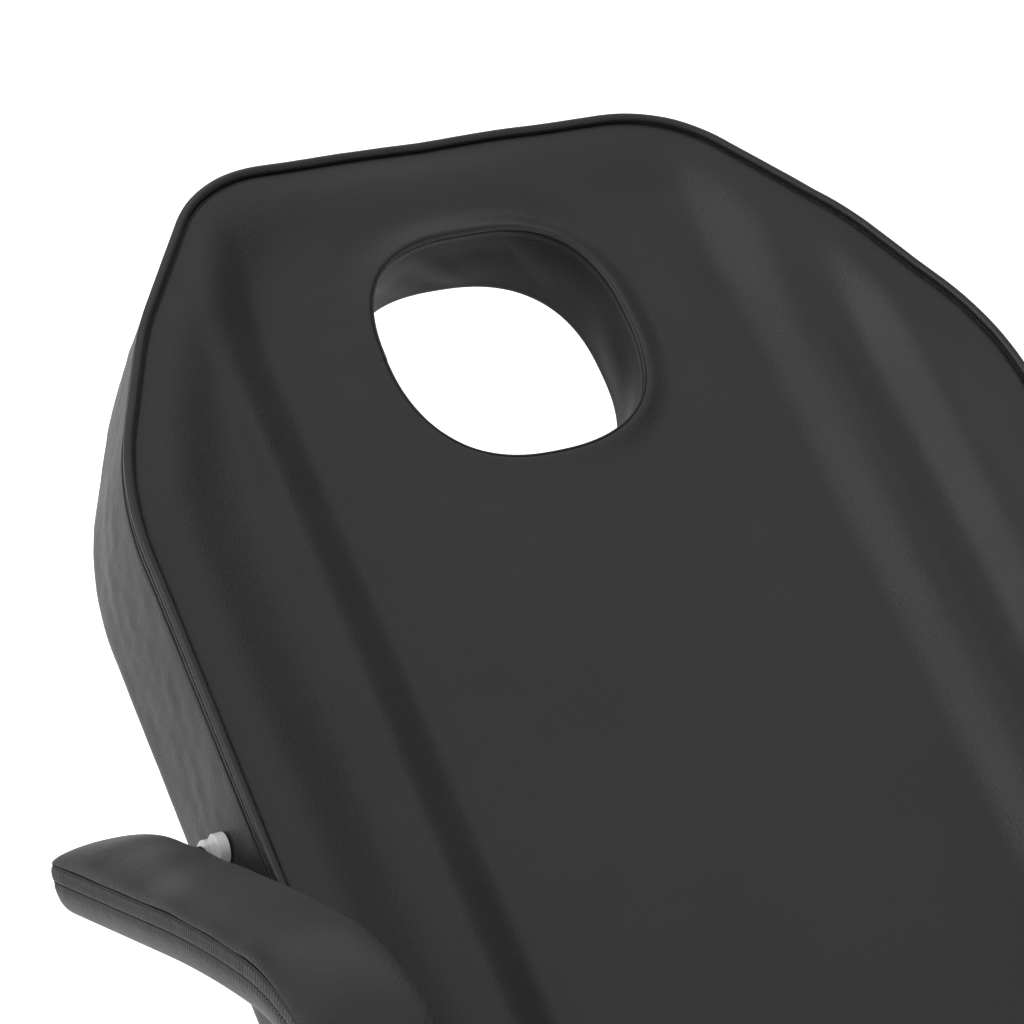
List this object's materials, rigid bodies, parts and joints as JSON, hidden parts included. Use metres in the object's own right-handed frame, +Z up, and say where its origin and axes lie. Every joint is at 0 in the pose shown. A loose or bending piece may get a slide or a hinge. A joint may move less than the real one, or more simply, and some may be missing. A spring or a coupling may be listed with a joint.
{
  "type": "facial treatment bed",
  "caption": "Padded facial treatment bed with a face hole in a tilting backrest, hinged leg rest, levelling armrests and a foot-pumped lifting column on a round base.",
  "frame": {"origin": "on the floor under the centre of the lift column", "axes": "+Z up, +Y towards the head end, +X across the bed to the lying client's left"},
  "size_m": [0.796, 1.6355, 1.0934],
  "materials": {
    "upholstery": "matte",
    "plywood": "matte",
    "chrome": "polished",
    "bright_steel": "satin",
    "washer": "satin",
    "black_plastic": "satin",
    "rubber": "matte",
    "grey_paint": "satin",
    "white_paint": "gloss",
    "black_paint": "satin"
  },
  "bodies": {
    "base": {"base_plate": "white_paint", "base_edge_trim": "rubber", "base_cover": "white_paint", "cover_collar": "bright_steel", "pump_housing": "grey_paint", "pump_gland": "chrome", "pump_block": "grey_paint", "pedal_pin": "chrome"},
    "pedal": {"pedal_lever": "white_paint", "pedal_pad": "rubber"},
    "plunger": {"pump_plunger": "bright_steel"},
    "ram": {"ram": "chrome", "swivel_washer": "washer"},
    "table": {"turntable_hub": "white_paint", "turntable_plate": "white_paint", "turntable_bolts": "bright_steel", "seat_side_rails": "white_paint", "seat_cross_rails": "white_paint", "seat_board": "plywood", "seat_pad": "upholstery", "back_ear_left": "white_paint", "back_ear_right": "white_paint", "leg_ear_left": "white_paint", "leg_ear_right": "white_paint", "link_lugs": "white_paint", "link_spacers": "bright_steel", "link_pins": "chrome", "hinge_pins": "chrome", "hinge_washers": "washer", "pawl_pins": "chrome"},
    "swivel_brake": {"swivel_brake_lever": "white_paint", "swivel_brake_knob": "black_plastic"},
    "back": {"back_side_rails": "white_paint", "back_cross_rails": "white_paint", "back_cheek_left": "white_paint", "back_cheek_right": "white_paint", "back_board": "plywood", "back_pad": "upholstery", "arm_bracket_left": "white_paint", "arm_bracket_right": "white_paint", "arm_rear_pins": "chrome"},
    "leg": {"leg_side_rails": "white_paint", "leg_cross_rails": "white_paint", "leg_cheeks": "white_paint", "leg_board": "plywood", "leg_pad": "upholstery"},
    "arm_left": {"arm_rail_left": "black_paint", "arm_board_left": "plywood", "arm_pad_left": "upholstery", "arm_front_pin_left": "chrome"},
    "arm_right": {"arm_rail_right": "black_paint", "arm_board_right": "plywood", "arm_pad_right": "upholstery", "arm_front_pin_right": "chrome"},
    "link_left": {"arm_link_left": "black_paint"},
    "link_right": {"arm_link_right": "black_paint"},
    "back_pawl": {"back_pawl": "white_paint", "back_pawl_grip": "black_plastic"},
    "leg_pawl": {"leg_pawl": "white_paint", "leg_pawl_grip": "black_plastic"}
  },
  "joints": [
    {"name": "lift", "type": "slide", "parent": "base", "child": "ram", "axis": [0, 0, 1], "range_m": [0, 0.18]},
    {"name": "swivel", "type": "hinge", "parent": "ram", "child": "table", "pos_m": [0, 0, 0.45], "axis": [0, 0, 1], "continuous": true},
    {"name": "pedal_press", "type": "hinge", "parent": "base", "child": "pedal", "pos_m": [0, 0.098, 0.084], "axis": [-1, 0, 0], "range_deg": [0, 12], "stiffness_Nm_per_rad": 25, "springref_deg": -17.19},
    {"name": "plunger_stroke", "type": "slide", "parent": "base", "child": "plunger", "axis": [0, 0, 1], "range_m": [0, 0.005]},
    {"name": "swivel_brake_turn", "type": "hinge", "parent": "table", "child": "swivel_brake", "pos_m": [0, 0, 0.47], "axis": [1, 0, 0], "range_deg": [0, 60]},
    {"name": "back_recline", "type": "hinge", "parent": "table", "child": "back", "pos_m": [0, 0.15, 0.592], "axis": [1, 0, 0], "range_deg": [-36, 39]},
    {"name": "leg_fold", "type": "hinge", "parent": "table", "child": "leg", "pos_m": [0, -0.29, 0.592], "axis": [-1, 0, 0], "range_deg": [-50, 25]},
    {"name": "back_pawl_release", "type": "hinge", "parent": "table", "child": "back_pawl", "pos_m": [0, 0.088, 0.532], "axis": [1, 0, 0], "range_deg": [0, 12], "stiffness_Nm_per_rad": 1.5, "springref_deg": -14.32},
    {"name": "leg_pawl_release", "type": "hinge", "parent": "table", "child": "leg_pawl", "pos_m": [0, -0.222, 0.534], "axis": [-1, 0, 0], "range_deg": [0, 12], "stiffness_Nm_per_rad": 1.5, "springref_deg": -14.32},
    {"name": "arm_left_level", "type": "hinge", "parent": "back", "child": "arm_left", "pos_m": [0, 0.43265, 0.81713], "axis": [1, 0, 0], "range_deg": [-39, 36]},
    {"name": "link_left_swing", "type": "hinge", "parent": "table", "child": "link_left", "pos_m": [0, -0.1, 0.6], "axis": [1, 0, 0], "range_deg": [-36, 39]},
    {"name": "arm_right_level", "type": "hinge", "parent": "back", "child": "arm_right", "pos_m": [0, 0.43265, 0.81713], "axis": [1, 0, 0], "range_deg": [-39, 36]},
    {"name": "link_right_swing", "type": "hinge", "parent": "table", "child": "link_right", "pos_m": [0, -0.1, 0.6], "axis": [1, 0, 0], "range_deg": [-36, 39]}
  ],
  "couplings": [
    {"joint": "plunger_stroke", "follows": "pedal_press", "m_per_rad": 0.022},
    {"joint": "arm_left_level", "follows": "back_recline", "ratio": -1},
    {"joint": "link_left_swing", "follows": "back_recline", "ratio": 1},
    {"joint": "arm_right_level", "follows": "back_recline", "ratio": -1},
    {"joint": "link_right_swing", "follows": "back_recline", "ratio": 1}
  ]
}
